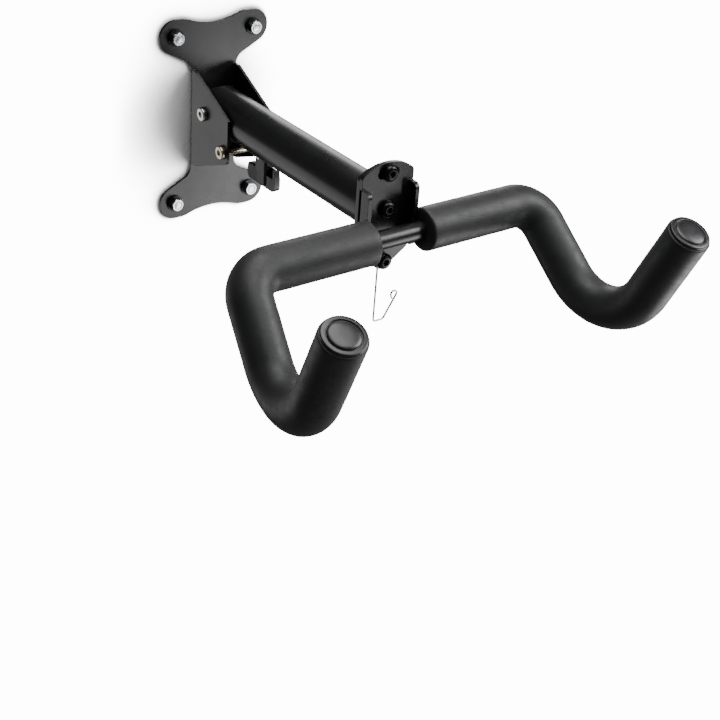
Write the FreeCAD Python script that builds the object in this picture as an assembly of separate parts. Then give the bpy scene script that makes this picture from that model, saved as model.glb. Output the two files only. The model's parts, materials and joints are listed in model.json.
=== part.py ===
import FreeCAD, Part
import math
import os

# Folding bicycle wall rack.  Millimetres.  The origin is the centre of the four
# wall screws, on the plane of the wall.  +X is to the right of a person facing the
# wall, +Y goes into the wall, so the arm reaches out along -Y, and +Z is up.

# ---- wall bracket, one bent steel sheet -------------------------------------
SHEET = 2.5                # sheet thickness of plate and cheeks
HOLE_X = 41.3              # wall holes, half spacing across
HOLE_Z = 81.6              # wall holes, half spacing up and down
EAR_R = 16.0               # rounded ears round the wall holes
EAR_SLOPE = 27.0           # slope of the inner edge of an ear, degrees
NECK_FILLET = 12.0         # hollow corner between ear and neck
EDGE_DIP_R = 77.4          # hollow arc of the top and bottom edges
EDGE_DIP = 6.1             # depth of that arc at the middle
EDGE_EASE_R = 20.0         # rounding where that arc meets the ears
WALL_HOLE_R = 3.6
CHEEK_IN = 21.5            # inner face of a cheek, from the middle
CHEEK_OUT = CHEEK_IN + SHEET
CHEEK_FRONT = -67.0
CHEEK_FLAT = -10.0         # the cheeks keep their full height up to here
CHEEK_TOP = 48.5
CHEEK_BOTTOM = -44.0
CHEEK_NOSE = 21.0          # half height of the front edge
BEND_OUT = 4.0

# ---- screws and bolts --------------------------------------------------------
LAG_R = 3.15
LAG_NECK_R = 2.9           # the neck tapers up to the thread from this
LAG_NECK_END_R = 3.1
LAG_THREAD_Y = 0.5         # the thread begins just behind the plate
LAG_HEAD_AF = 11.1
LAG_HEAD = 5.3
LAG_LENGTH = 50.0
LAG_TIP = 6.0
LAG_CHAMFER = 0.9
LAG_DISH_R = 4.4           # shallow dish in the top of the head
LAG_DISH = 0.9
LAG_WASHER_R = 7.9
LAG_WASHER_BORE = 3.4
M8_R = 4.0
M8_RUN_R = 4.06            # bore that turns on an M8 shank
M8_HOLE_R = 4.2
M8_AF = 13.0
M8_NUT = 6.5
M8_NUT_CHAMFER = 0.7
M8_PROUD = 3.0             # thread that shows beyond a nut
M8_WASHER_R = 8.0
WASHER = 1.6
BUTTON_R = 7.0
BUTTON = 3.8
BUTTON_ROUND = 2.2
HEAD_WASHER_R = 7.6
HEAD_WASHER = 1.2
LOW_HEAD_R = 6.5
LOW_HEAD = 4.0
LOW_HEAD_ROUND = 1.2
SOCKET_AF = 5.0
SOCKET_DEPTH = 0.55        # part of the head's height

# ---- arm ---------------------------------------------------------------------
ARM_R = 21.0
ARM_BORE = 19.0
ARM_Z = 13.5
PIVOT_Y = -25.0
ARM_END_R = 22.0           # the wall end is rounded about the pivot, clear of the plate
STOP_Y = -58.5
STOP_Z = -11.9
BUSH_R = 6.0
BUSH_HALF = 21.2
END_PLATE_BACK = -265.0
END_PLATE = 4.7
END_PLATE_HALF = 25.0
END_PLATE_LOW = -10.0
END_PLATE_ARCH_R = 38.0
ARM_WELD = 3.4             # leg of the fillet weld
TILT_BOLT_LENGTH = 18.6     # into the weld nut inside the arm
SLOT_BOLT_LENGTH = 10.4     # into the tapped hole of the end plate

# ---- tilting head plate ------------------------------------------------------
TILT_BACK = -270.0
TILT_PLATE = 4.0
TILT_Z = 15.0              # the head levels about this bolt
TILT_HALF = 26.0
ARCH_R = 40.8
ARCH_CORNER = 5.0
SLOT_R = 32.0              # the levelling slot is an arc about the tilt bolt
SLOT_HALF_ANGLE = 11.4
SLOT_HALF_WIDTH = 4.4
FLANGE_TOP = 36.0
FLANGE_LOW = -20.0
FLANGE_FRONT = -283.5
HANGER_Z = -31.8
TAB_R = 8.3
TAB_SLOPE = 35.0
LOOSE = 0.3                # gap between faces that slide past each other

# ---- hooks -------------------------------------------------------------------
ROD_R = 8.0
ROD_BORE = 6.5
FOAM_R = 18.75
FOAM_START = 26.3
ROD_WELD = 2.2             # leg of the fillet weld
CROSS_Y = -289.7
CROSS_Z = -3.3
ELBOW = (147.1, CROSS_Y, CROSS_Z)
TROUGH = (162.7, -391.7, -101.7)
TIP = (168.3, -449.6, 28.4)
ELBOW_BEND = 26.0
TROUGH_BEND = 50.0
CAP_R = 17.5
CAP_RIM = 2.6
CAP_DOME_R = 13.5
CAP_DOME = 1.6
CAP_STEM = 15.0

# ---- lock knob under the arm -------------------------------------------------
KNOB_Y = -92.2
KNOB_TOP = -9.2
KNOB_LOW = -35.0
KNOB_HUB_LOW = -32.5
KNOB_CAP = 7.0             # solid plastic below the stud
KNOB_HUB_X = 4.7           # the hub is a rounded block, thicker than the wings
KNOB_HUB_Y = 9.0
KNOB_HUB_ROUND = 2.5
WING_X = 3.1
WING_REACH = 22.5
WING_TROUGH = -22.5        # top of the trough walls between hub and tip
WING_TIP = 3.4             # length of a tip
FRONT_TIP_TOP = -14.0      # the tip away from the wall stands higher
BACK_TIP_TOP = -20.0
WING_WALL = 1.4
TROUGH_FLOOR = 4.0
RIVET_R = 5.5
RIVET_FLANGE_R = 7.5
RIVET_FLANGE = 1.5
RIVET_TOP = 5.0
STUD_TOP = 10.0

# ---- wire hanger -------------------------------------------------------------
WIRE_R = 0.9
WIRE_SLACK = 0.05
HANGER_LOW = -88.4
HANGER_CURL_X = 14.8
HANGER_CURL_Z = -66.8
HANGER_CURL_R = 3.0
HANGER_CURL_ENDS = 200.0   # where the curl runs out into its straight tail, degrees
HANGER_TAIL = 3.2
HANGER_RISE = 55.0         # slope of the leg that climbs to the curl, degrees
HANGER_BEND = 2.5
EYE_OPENS = -150.0         # where the eye of the wire begins, degrees
HANGER_TURN_X = 3.6


def vec(x, y, z):
    return FreeCAD.Vector(x, y, z)


AXIS_X = vec(1, 0, 0)
AXIS_Y = vec(0, 1, 0)
AXIS_Z = vec(0, 0, 1)


def rod_x(x0, x1, y, z, radius):
    """Solid cylinder along X."""
    return Part.makeCylinder(radius, x1 - x0, vec(x0, y, z), AXIS_X)


def rod_y(y0, y1, x, z, radius):
    """Solid cylinder along Y."""
    return Part.makeCylinder(radius, y1 - y0, vec(x, y0, z), AXIS_Y)


def rod_z(z0, z1, x, y, radius):
    """Solid cylinder along Z."""
    return Part.makeCylinder(radius, z1 - z0, vec(x, y, z0), AXIS_Z)


def block(x0, x1, y0, y1, z0, z1):
    """Box between two corners."""
    return Part.makeBox(x1 - x0, y1 - y0, z1 - z0, vec(x0, y0, z0))


def rounded_loop(corners, place):
    """Closed wire through (a, b, radius) corners, each rounded by a tangent arc."""
    edges = []
    starts = []
    ends = []
    arcs = []
    count = len(corners)
    for i in range(count):
        a, b, radius = corners[i]
        here = vec(a, b, 0)
        before = (vec(corners[i - 1][0], corners[i - 1][1], 0) - here).normalize()
        after = corners[(i + 1) % count]
        after = (vec(after[0], after[1], 0) - here).normalize()
        if radius == 0:
            starts.append(here)
            ends.append(here)
            arcs.append(None)
            continue
        half = before.getAngle(after) / 2
        reach = radius / math.tan(half)
        middle = (before + after).normalize()
        bulge = here + middle * (radius / math.sin(half) - radius)
        starts.append(here + before * reach)
        ends.append(here + after * reach)
        arcs.append(bulge)
    for i in range(count):
        if arcs[i] is not None:
            edges.append(Part.Arc(place(starts[i]), place(arcs[i]), place(ends[i])).toShape())
        follow = starts[(i + 1) % count]
        if (follow - ends[i]).Length > 0.01:
            edges.append(Part.LineSegment(place(ends[i]), place(follow)).toShape())
    return Part.Wire(edges)


def prism_xz(corners, y0, y1):
    """Outline given as (x, z, radius), stretched from y0 to y1."""
    wire = rounded_loop(corners, lambda p: vec(p.x, y0, p.y))
    return Part.Face(wire).extrude(vec(0, y1 - y0, 0))


def prism_yz(corners, x0, x1):
    """Outline given as (y, z, radius), stretched from x0 to x1."""
    wire = rounded_loop(corners, lambda p: vec(x0, p.x, p.y))
    return Part.Face(wire).extrude(vec(x1 - x0, 0, 0))


def prism_xy(corners, z0, z1):
    """Outline given as (x, y, radius), stretched from z0 to z1."""
    wire = rounded_loop(corners, lambda p: vec(p.x, p.y, z0))
    return Part.Face(wire).extrude(vec(0, 0, z1 - z0))


def edges_near(shape, test):
    """Edges whose middle point passes the test."""
    found = []
    for edge in shape.Edges:
        middle = edge.valueAt((edge.FirstParameter + edge.LastParameter) / 2)
        if test(middle):
            found.append(edge)
    return found


def hexagon(across_flats, thick, start, direction):
    """Hexagonal prism with its first face centred on start."""
    points = []
    for i in range(7):
        angle = math.radians(60 * i)
        reach = across_flats / math.sqrt(3)
        points.append(vec(reach * math.cos(angle), reach * math.sin(angle), 0))
    solid = Part.Face(Part.makePolygon(points)).extrude(vec(0, 0, thick))
    turn = FreeCAD.Rotation(AXIS_Z, direction)
    solid.Placement = FreeCAD.Placement(start, turn)
    return solid


def along(start, direction, distance):
    return start + direction * distance


def washer(start, direction, outer, inner, thick):
    ring = Part.makeCylinder(outer, thick, start, direction)
    return ring.cut(Part.makeCylinder(inner, thick, start, direction))


def chamfered_hexagon(across_flats, thick, chamfer, start, direction):
    """Hexagonal prism whose far corners are turned down at 45 degrees."""
    turned = across_flats / math.sqrt(3) - chamfer
    cone = Part.makeCone(turned + thick, turned, thick, start, direction)
    return hexagon(across_flats, thick, start, direction).common(cone)


def hex_nut(start, direction):
    """M8 nut standing on start."""
    nut = chamfered_hexagon(M8_AF, M8_NUT, M8_NUT_CHAMFER, start, direction)
    return nut.cut(Part.makeCylinder(M8_R, M8_NUT, start, direction))


def socket_bolt(seat, direction, head_r, head_h, shank, edge_round):
    """Socket head bolt: the head stands on the seat towards direction."""
    head = Part.makeCylinder(head_r, head_h, seat, direction)
    top = along(seat, direction, head_h)
    rims = edges_near(head, lambda p: abs((p - top).dot(direction)) < 0.01)
    head = head.makeFillet(edge_round, rims)
    socket = hexagon(SOCKET_AF, head_h, along(top, direction, -head_h * SOCKET_DEPTH), direction)
    head = head.cut(socket)
    return head.fuse(Part.makeCylinder(M8_R, shank, seat, direction * -1)).removeSplitter()


def plate_with_ears():
    """Flat back plate of the wall bracket, before its cheeks are added."""
    slope = math.tan(math.radians(EAR_SLOPE))
    side = HOLE_X + EAR_R
    top = HOLE_Z + EAR_R
    touch_x = HOLE_X + EAR_R * math.sin(math.radians(EAR_SLOPE))
    touch_z = HOLE_Z - EAR_R * math.cos(math.radians(EAR_SLOPE))
    side_z = touch_z + (side - touch_x) * slope
    neck_z = touch_z - (touch_x - CHEEK_OUT) * slope
    right = [(side, top, EAR_R), (side, side_z, EAR_R), (CHEEK_OUT, neck_z, NECK_FILLET)]
    right += [(x, -z, r) for x, z, r in reversed(right)]
    left = [(-x, -z, r) for x, z, r in right]
    plate = prism_xz(right + left, -SHEET, 0)
    for side_of in (1, -1):
        centre = side_of * (top - EDGE_DIP + EDGE_DIP_R)
        plate = plate.cut(rod_y(-SHEET - 1, 1, 0, centre, EDGE_DIP_R))
    dip_x = math.sqrt(EDGE_DIP_R ** 2 - (EDGE_DIP_R - EDGE_DIP) ** 2)
    kinks = edges_near(plate, lambda p: abs(abs(p.x) - dip_x) < 0.1 and abs(abs(p.z) - top) < 0.1
                       and abs(p.y + SHEET / 2) < 0.1)
    return plate.makeFillet(EDGE_EASE_R, kinks)


def bend_cut(x, y, radius, z0, z1):
    """What rounding the outer corner of a bend takes away, for the +X side."""
    corner = block(x - radius, x + 1, y - radius, y + 1, z0, z1)
    return corner.cut(rod_z(z0, z1, x - radius, y - radius, radius))


def mirrored(shape):
    return shape.mirror(vec(0, 0, 0), AXIS_X)


def wall_plate():
    """Back plate with ears and the two cheeks that hold the arm, one bent sheet."""
    outline = [(0, CHEEK_TOP, 0), (CHEEK_FLAT, CHEEK_TOP, 6), (CHEEK_FRONT, CHEEK_NOSE, 4),
               (CHEEK_FRONT, -CHEEK_NOSE, 6), (CHEEK_FLAT, CHEEK_BOTTOM, 6), (0, CHEEK_BOTTOM, 0)]
    cheek = prism_yz(outline, CHEEK_IN, CHEEK_OUT)
    body = plate_with_ears().fuse([cheek, mirrored(cheek)]).removeSplitter()
    rounding = bend_cut(CHEEK_OUT, 0, BEND_OUT, CHEEK_BOTTOM, CHEEK_TOP)
    body = body.cut([rounding, mirrored(rounding)])
    inner = edges_near(body, lambda p: abs(abs(p.x) - CHEEK_IN) < 0.01 and abs(p.y + SHEET) < 0.01)
    body = body.makeFillet(BEND_OUT - SHEET, inner)
    for x in (-HOLE_X, HOLE_X):
        for z in (-HOLE_Z, HOLE_Z):
            body = body.cut(rod_y(-SHEET - 1, 1, x, z, WALL_HOLE_R))
    for y, z in ((PIVOT_Y, ARM_Z), (STOP_Y, STOP_Z)):
        body = body.cut(rod_x(-CHEEK_OUT - 1, CHEEK_OUT + 1, y, z, M8_HOLE_R))
    return body


def at_wall_holes(make):
    """One solid for each wall hole, as one group."""
    return Part.makeCompound([make(x, z) for x in (-HOLE_X, HOLE_X) for z in (-HOLE_Z, HOLE_Z)])


def wall_screw(x, z):
    """Hexagon lag screw through the plate into the wall."""
    seat = -SHEET - WASHER
    top = seat - LAG_HEAD
    out = AXIS_Y * -1
    head = chamfered_hexagon(LAG_HEAD_AF, LAG_HEAD, LAG_CHAMFER, vec(x, seat, z), out)
    head = head.cut(Part.makeCone(LAG_DISH_R - 1, LAG_DISH_R, LAG_DISH, vec(x, top + LAG_DISH, z), out))
    neck = Part.makeCone(LAG_NECK_R, LAG_NECK_END_R, LAG_THREAD_Y - seat, vec(x, seat, z), AXIS_Y)
    shank = rod_y(LAG_THREAD_Y, seat + LAG_LENGTH - LAG_TIP, x, z, LAG_R)
    tip = Part.makeCone(LAG_R, 0.4, LAG_TIP, vec(x, seat + LAG_LENGTH - LAG_TIP, z), AXIS_Y)
    return head.fuse([neck, shank, tip]).removeSplitter()


def wall_washer(x, z):
    return washer(vec(x, -SHEET, z), AXIS_Y * -1, LAG_WASHER_R, LAG_WASHER_BORE, WASHER)


def bracket_bolt(y, z):
    """M8 cross bolt, head outside the left cheek."""
    shank = CHEEK_OUT * 2 + WASHER + M8_NUT + M8_PROUD
    return socket_bolt(vec(-CHEEK_OUT, y, z), AXIS_X * -1, LOW_HEAD_R, LOW_HEAD, shank, LOW_HEAD_ROUND)


def at_bracket_bolts(make):
    return Part.makeCompound([make(y, z) for y, z in ((PIVOT_Y, ARM_Z), (STOP_Y, STOP_Z))])


def bracket_washer(y, z):
    return washer(vec(CHEEK_OUT, y, z), AXIS_X, M8_WASHER_R, M8_HOLE_R, WASHER)


def bracket_nut(y, z):
    return hex_nut(vec(CHEEK_OUT + WASHER, y, z), AXIS_X)


def arm_tube():
    """Round tube whose wall end is rounded about the pivot so that it can fold up."""
    tube = rod_y(END_PLATE_BACK, 0, 0, ARM_Z, ARM_R).cut(rod_y(END_PLATE_BACK, 0, 0, ARM_Z, ARM_BORE))
    keep = rod_x(-ARM_R - 1, ARM_R + 1, PIVOT_Y, ARM_Z, ARM_END_R)
    front = block(-ARM_R - 1, ARM_R + 1, END_PLATE_BACK, PIVOT_Y, ARM_Z - ARM_END_R, ARM_Z + ARM_END_R)
    tube = tube.common(keep.fuse(front))
    tube = tube.cut(rod_x(-ARM_R - 1, ARM_R + 1, PIVOT_Y, ARM_Z, BUSH_R))
    return tube.cut(rod_z(ARM_Z - ARM_R - 1, ARM_Z, 0, KNOB_Y, RIVET_R))


def pivot_bush():
    """Steel sleeve across the arm that turns on the pivot bolt."""
    sleeve = rod_x(-BUSH_HALF, BUSH_HALF, PIVOT_Y, ARM_Z, BUSH_R)
    return sleeve.cut(rod_x(-BUSH_HALF, BUSH_HALF, PIVOT_Y, ARM_Z, M8_RUN_R))


def arched_plate(half, low, radius, y_back, thick, low_round):
    """Plate with an arched top about the tilt bolt and rounded top corners."""
    front = y_back - thick
    sheet = prism_xz([(half, low, low_round), (half, 80, 0), (-half, 80, 0), (-half, low, low_round)],
                     front, y_back)
    sheet = sheet.common(rod_y(front, y_back, 0, TILT_Z, radius))
    corner_z = TILT_Z + math.sqrt(radius ** 2 - half ** 2)
    corners = edges_near(sheet, lambda p: abs(abs(p.x) - half) < 0.01 and abs(p.z - corner_z) < 0.01)
    return sheet.makeFillet(ARCH_CORNER, corners)


def arm_end_plate():
    """Plate welded across the front end of the arm."""
    plate = arched_plate(END_PLATE_HALF, END_PLATE_LOW, END_PLATE_ARCH_R, END_PLATE_BACK, END_PLATE, 8.0)
    for z, radius in ((TILT_Z, M8_HOLE_R), (TILT_Z + SLOT_R, M8_R)):
        plate = plate.cut(rod_y(END_PLATE_BACK - END_PLATE, END_PLATE_BACK, 0, z, radius))
    return plate


def arm_weld():
    """Fillet weld round the arm where it meets its end plate."""
    ring = Part.makeCone(ARM_R + ARM_WELD, ARM_R, ARM_WELD, vec(0, END_PLATE_BACK, ARM_Z), AXIS_Y)
    return ring.cut(rod_y(END_PLATE_BACK, END_PLATE_BACK + ARM_WELD, 0, ARM_Z, ARM_R))


def knob_nut():
    """Rivet nut in the underside of the arm, for the knob's stud."""
    low = KNOB_TOP + LOOSE
    flange = rod_z(low, ARM_Z - ARM_R + RIVET_FLANGE, 0, KNOB_Y, RIVET_FLANGE_R)
    flange = flange.cut(rod_y(KNOB_Y - 10, KNOB_Y + 10, 0, ARM_Z, ARM_R))
    nut = flange.fuse(rod_z(low, RIVET_TOP, 0, KNOB_Y, RIVET_R)).removeSplitter()
    return nut.cut(rod_z(low - 1, RIVET_TOP + 1, 0, KNOB_Y, M8_RUN_R))


def knob_wing(side, tip_top):
    """One trough-shaped wing, towards +Y or -Y: one high wall and a raised tip that leans back."""
    tip = KNOB_Y + side * WING_REACH
    step = tip - side * WING_TIP
    outline = [(KNOB_Y, WING_TROUGH, 0), (step, WING_TROUGH, 0), (step, tip_top, 0),
               (step + side * WING_WALL, tip_top, 0.6), (tip, WING_TROUGH, 1.5), (tip, KNOB_LOW, 5),
               (KNOB_Y, KNOB_LOW, 0)]
    wing = prism_yz(outline, -WING_X, WING_X)
    start = KNOB_Y + side * KNOB_HUB_Y
    y0, y1 = sorted((start, tip - side * WING_WALL * 2))
    inner = WING_X - WING_WALL
    wing = wing.cut(block(-inner, inner, y0, y1, KNOB_LOW + TROUGH_FLOOR, WING_TROUGH + 1))
    x0, x1 = sorted((-side * inner, -side * WING_X))
    y0, y1 = sorted((KNOB_Y, step))
    return wing.fuse(block(x0, x1, y0, y1, WING_TROUGH - 1, tip_top - WING_WALL))


def wing_knob():
    """Moulded knob: a blade of two open wings through a thicker hub."""
    x, y = KNOB_HUB_X, KNOB_HUB_Y
    corners = [(x, KNOB_Y + y), (x, KNOB_Y - y), (-x, KNOB_Y - y), (-x, KNOB_Y + y)]
    hub = prism_xy([(a, b, KNOB_HUB_ROUND) for a, b in corners], KNOB_HUB_LOW, KNOB_TOP)
    knob = hub.fuse([knob_wing(1, BACK_TIP_TOP), knob_wing(-1, FRONT_TIP_TOP)]).removeSplitter()
    return knob.cut(rod_z(KNOB_LOW + KNOB_CAP, KNOB_TOP + 1, 0, KNOB_Y, M8_R))


def knob_stud():
    """Threaded stud moulded into the knob."""
    return rod_z(KNOB_LOW + KNOB_CAP, STUD_TOP, 0, KNOB_Y, M8_R)


def arm_bolt(z, length):
    """Button head bolt through the tilting plate and the end plate, with its seat on a washer."""
    seat = vec(0, TILT_BACK - TILT_PLATE - LOOSE - HEAD_WASHER, z)
    return socket_bolt(seat, AXIS_Y * -1, BUTTON_R, BUTTON, length, BUTTON_ROUND)


def head_washer(z):
    start = vec(0, TILT_BACK - TILT_PLATE - LOOSE, z)
    return washer(start, AXIS_Y * -1, HEAD_WASHER_R, M8_HOLE_R, HEAD_WASHER)


def tilt_nut():
    """Nut welded to the back of the end plate, inside the arm."""
    return hex_nut(vec(0, END_PLATE_BACK, TILT_Z), AXIS_Y)


def at_head_bolts(make):
    return Part.makeCompound([make(z) for z in (TILT_Z, TILT_Z + SLOT_R)])


def level_slot():
    """Arc-shaped slot about the tilt bolt, as a solid to cut away."""
    y0 = TILT_BACK - TILT_PLATE - 1
    y1 = TILT_BACK + 1
    ring = rod_y(y0, y1, 0, TILT_Z, SLOT_R + SLOT_HALF_WIDTH)
    ring = ring.cut(rod_y(y0, y1, 0, TILT_Z, SLOT_R - SLOT_HALF_WIDTH))
    angle = math.radians(SLOT_HALF_ANGLE)
    reach = 60.0
    spread = reach * math.tan(angle)
    wedge = prism_xz([(0, TILT_Z, 0), (spread, TILT_Z + reach, 0), (-spread, TILT_Z + reach, 0)], y0, y1)
    slot = ring.common(wedge)
    for side in (1, -1):
        x = side * SLOT_R * math.sin(angle)
        z = TILT_Z + SLOT_R * math.cos(angle)
        slot = slot.fuse(rod_y(y0, y1, x, z, SLOT_HALF_WIDTH))
    return slot


def tilt_plate():
    """Head plate that levels about the tilt bolt, with flanges that carry the cross tube."""
    front = TILT_BACK - TILT_PLATE
    upper = arched_plate(TILT_HALF, 0, ARCH_R, TILT_BACK, TILT_PLATE, 0)
    angle = math.radians(TAB_SLOPE)
    touch = (TAB_R * math.sin(angle), HANGER_Z - TAB_R * math.cos(angle))
    shoulder = touch[1] + (TILT_HALF - touch[0]) * math.tan(angle)
    tip_corner = HANGER_Z - TAB_R / math.cos(angle)
    lower = prism_xz([(TILT_HALF, 5, 0), (TILT_HALF, shoulder, 4), (0, tip_corner, TAB_R),
                      (-TILT_HALF, shoulder, 4), (-TILT_HALF, 5, 0)], front, TILT_BACK)
    flange = prism_yz([(TILT_BACK, FLANGE_TOP, 0), (FLANGE_FRONT, FLANGE_TOP, 5),
                       (FLANGE_FRONT, FLANGE_LOW, 4), (TILT_BACK, FLANGE_LOW, 0)],
                      TILT_HALF - TILT_PLATE, TILT_HALF)
    plate = upper.fuse([lower, flange, mirrored(flange)]).removeSplitter()
    rounding = bend_cut(TILT_HALF, TILT_BACK, TILT_PLATE + 1, FLANGE_LOW, FLANGE_TOP)
    plate = plate.cut([rounding, mirrored(rounding)])
    plate = plate.cut(level_slot())
    plate = plate.cut(rod_y(front - 1, TILT_BACK + 1, 0, TILT_Z, M8_RUN_R))
    plate = plate.cut(rod_y(front - 1, TILT_BACK + 1, 0, HANGER_Z, M8_HOLE_R))
    return plate.cut(rod_x(-TILT_HALF - 1, TILT_HALF + 1, CROSS_Y, CROSS_Z, ROD_R))


def hook_path(start_x):
    """Straight runs and bends of the right hook, from the cross tube out to the tip."""
    points = [vec(start_x, CROSS_Y, CROSS_Z), vec(*ELBOW), vec(*TROUGH), vec(*TIP)]
    edges = []
    last = points[0]
    for i, radius in ((1, ELBOW_BEND), (2, TROUGH_BEND)):
        back = (points[i - 1] - points[i]).normalize()
        ahead = (points[i + 1] - points[i]).normalize()
        half = back.getAngle(ahead) / 2
        reach = radius / math.tan(half)
        middle = (back + ahead).normalize()
        bulge = points[i] + middle * (radius / math.sin(half) - radius)
        begin = points[i] + back * reach
        finish = points[i] + ahead * reach
        edges.append(Part.LineSegment(last, begin).toShape())
        edges.append(Part.Arc(begin, bulge, finish).toShape())
        last = finish
    edges.append(Part.LineSegment(last, points[3]).toShape())
    return Part.Wire(edges)


def swept(path, radius, start, direction):
    """Round bar along a path."""
    ring = Part.Wire([Part.makeCircle(radius, start, direction)])
    bar = path.makePipeShell([ring], True, False)
    if bar.Volume < 0:
        bar.reverse()
    return bar


def hook_rod():
    """One tube bent into both hooks."""
    halves = []
    for radius in (ROD_R, ROD_BORE):
        right = swept(hook_path(0), radius, vec(0, CROSS_Y, CROSS_Z), AXIS_X)
        halves.append(right.fuse(mirrored(right)).removeSplitter())
    return halves[0].cut(halves[1])


def foam_sleeve():
    """Foam round the right hook, from the head plate to the tip."""
    start = vec(FOAM_START, CROSS_Y, CROSS_Z)
    path = hook_path(FOAM_START)
    return swept(path, FOAM_R, start, AXIS_X).cut(swept(path, ROD_R, start, AXIS_X))


def end_cap():
    """Plastic cap with a stem pressed into the right end of the tube."""
    tip = vec(*TIP)
    out = (tip - vec(*TROUGH)).normalize()
    rim = Part.makeCylinder(CAP_R, CAP_RIM, tip, out)
    outer = along(tip, out, CAP_RIM)
    rim = rim.makeFillet(1.2, edges_near(rim, lambda p: abs((p - outer).dot(out)) < 0.01))
    groove = washer(along(outer, out, -0.8), out, CAP_DOME_R + 1.2, CAP_DOME_R, 2.0)
    dome = Part.makeCylinder(CAP_DOME_R, CAP_DOME, outer, out)
    top = along(outer, out, CAP_DOME)
    dome = dome.makeFillet(1.4, edges_near(dome, lambda p: abs((p - top).dot(out)) < 0.01))
    stem = Part.makeCylinder(ROD_BORE, CAP_STEM, tip, out * -1)
    return rim.cut(groove).fuse([dome, stem]).removeSplitter()


def rod_welds():
    """Fillet welds where the cross tube sits in the two flanges."""
    beads = []
    for side in (1, -1):
        x = side * (TILT_HALF - TILT_PLATE)
        bead = Part.makeCone(ROD_R + ROD_WELD, ROD_R, ROD_WELD, vec(x, CROSS_Y, CROSS_Z), AXIS_X * -side)
        bead = bead.cut(rod_x(-TILT_HALF, TILT_HALF, CROSS_Y, CROSS_Z, ROD_R))
        behind = block(-TILT_HALF, TILT_HALF, FLANGE_FRONT, TILT_BACK, FLANGE_LOW, FLANGE_TOP)
        beads.append(bead.common(behind))
    return Part.makeCompound(beads)


def hanger_bolt():
    """Bolt through the tab that the wire hanger swings on."""
    wire_room = 2 * LOOSE + 2 * WIRE_R
    seat = vec(0, TILT_BACK - TILT_PLATE - wire_room, HANGER_Z)
    length = wire_room + TILT_PLATE + WASHER + M8_NUT + 2
    return socket_bolt(seat, AXIS_Y * -1, BUTTON_R, BUTTON, length, BUTTON_ROUND)


def hanger_washer():
    return washer(vec(0, TILT_BACK, HANGER_Z), AXIS_Y, M8_WASHER_R, M8_HOLE_R, WASHER)


def hanger_nut():
    return hex_nut(vec(0, TILT_BACK + WASHER, HANGER_Z), AXIS_Y)


def wire_hanger():
    """Spring wire: an eye on its bolt, a straight leg, a V and a small curl at the end."""
    y = TILT_BACK - TILT_PLATE - LOOSE - WIRE_R
    eye = M8_HOLE_R + WIRE_SLACK + WIRE_R

    def at(x, z):
        return vec(x, y, z)

    def round_part(x, z, radius, a0, a1):
        """Arc about (x, z) between two angles, measured from +X towards +Z."""
        mid = (a0 + a1) / 2
        spots = [at(x + radius * math.cos(math.radians(a)), z + radius * math.sin(math.radians(a)))
                 for a in (a0, mid, a1)]
        return Part.Arc(*spots).toShape()

    bend = HANGER_BEND
    low_left = -eye + bend
    lean = math.radians(HANGER_RISE)
    start_up = at(HANGER_TURN_X + bend * math.sin(lean), HANGER_LOW + bend - bend * math.cos(lean))
    curl_join = at(HANGER_CURL_X + HANGER_CURL_R * math.sin(lean),
                   HANGER_CURL_Z - HANGER_CURL_R * math.cos(lean))
    curl_end = math.radians(HANGER_CURL_ENDS)
    tail = at(HANGER_CURL_X + HANGER_CURL_R * math.cos(curl_end),
              HANGER_CURL_Z + HANGER_CURL_R * math.sin(curl_end))
    heading_down = vec(-math.sin(curl_end), 0, math.cos(curl_end))
    edges = [round_part(0, HANGER_Z, eye, EYE_OPENS, 180),
             Part.LineSegment(at(-eye, HANGER_Z), at(-eye, HANGER_LOW + bend)).toShape(),
             round_part(low_left, HANGER_LOW + bend, bend, 180, 270),
             Part.LineSegment(at(low_left, HANGER_LOW), at(HANGER_TURN_X, HANGER_LOW)).toShape(),
             round_part(HANGER_TURN_X, HANGER_LOW + bend, bend, -90, HANGER_RISE - 90),
             Part.LineSegment(start_up, curl_join).toShape(),
             round_part(HANGER_CURL_X, HANGER_CURL_Z, HANGER_CURL_R, HANGER_RISE - 90, HANGER_CURL_ENDS),
             Part.LineSegment(tail, tail + heading_down * HANGER_TAIL).toShape()]
    path = Part.Wire(edges)
    open_at = math.radians(EYE_OPENS)
    first = at(eye * math.cos(open_at), HANGER_Z + eye * math.sin(open_at))
    heading = vec(-math.sin(open_at), 0, math.cos(open_at))
    bar = swept(path, WIRE_R, first, heading)
    print("wire: volume %.1f, section times length %.1f" % (bar.Volume, math.pi * WIRE_R ** 2 * path.Length))
    return bar


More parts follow.
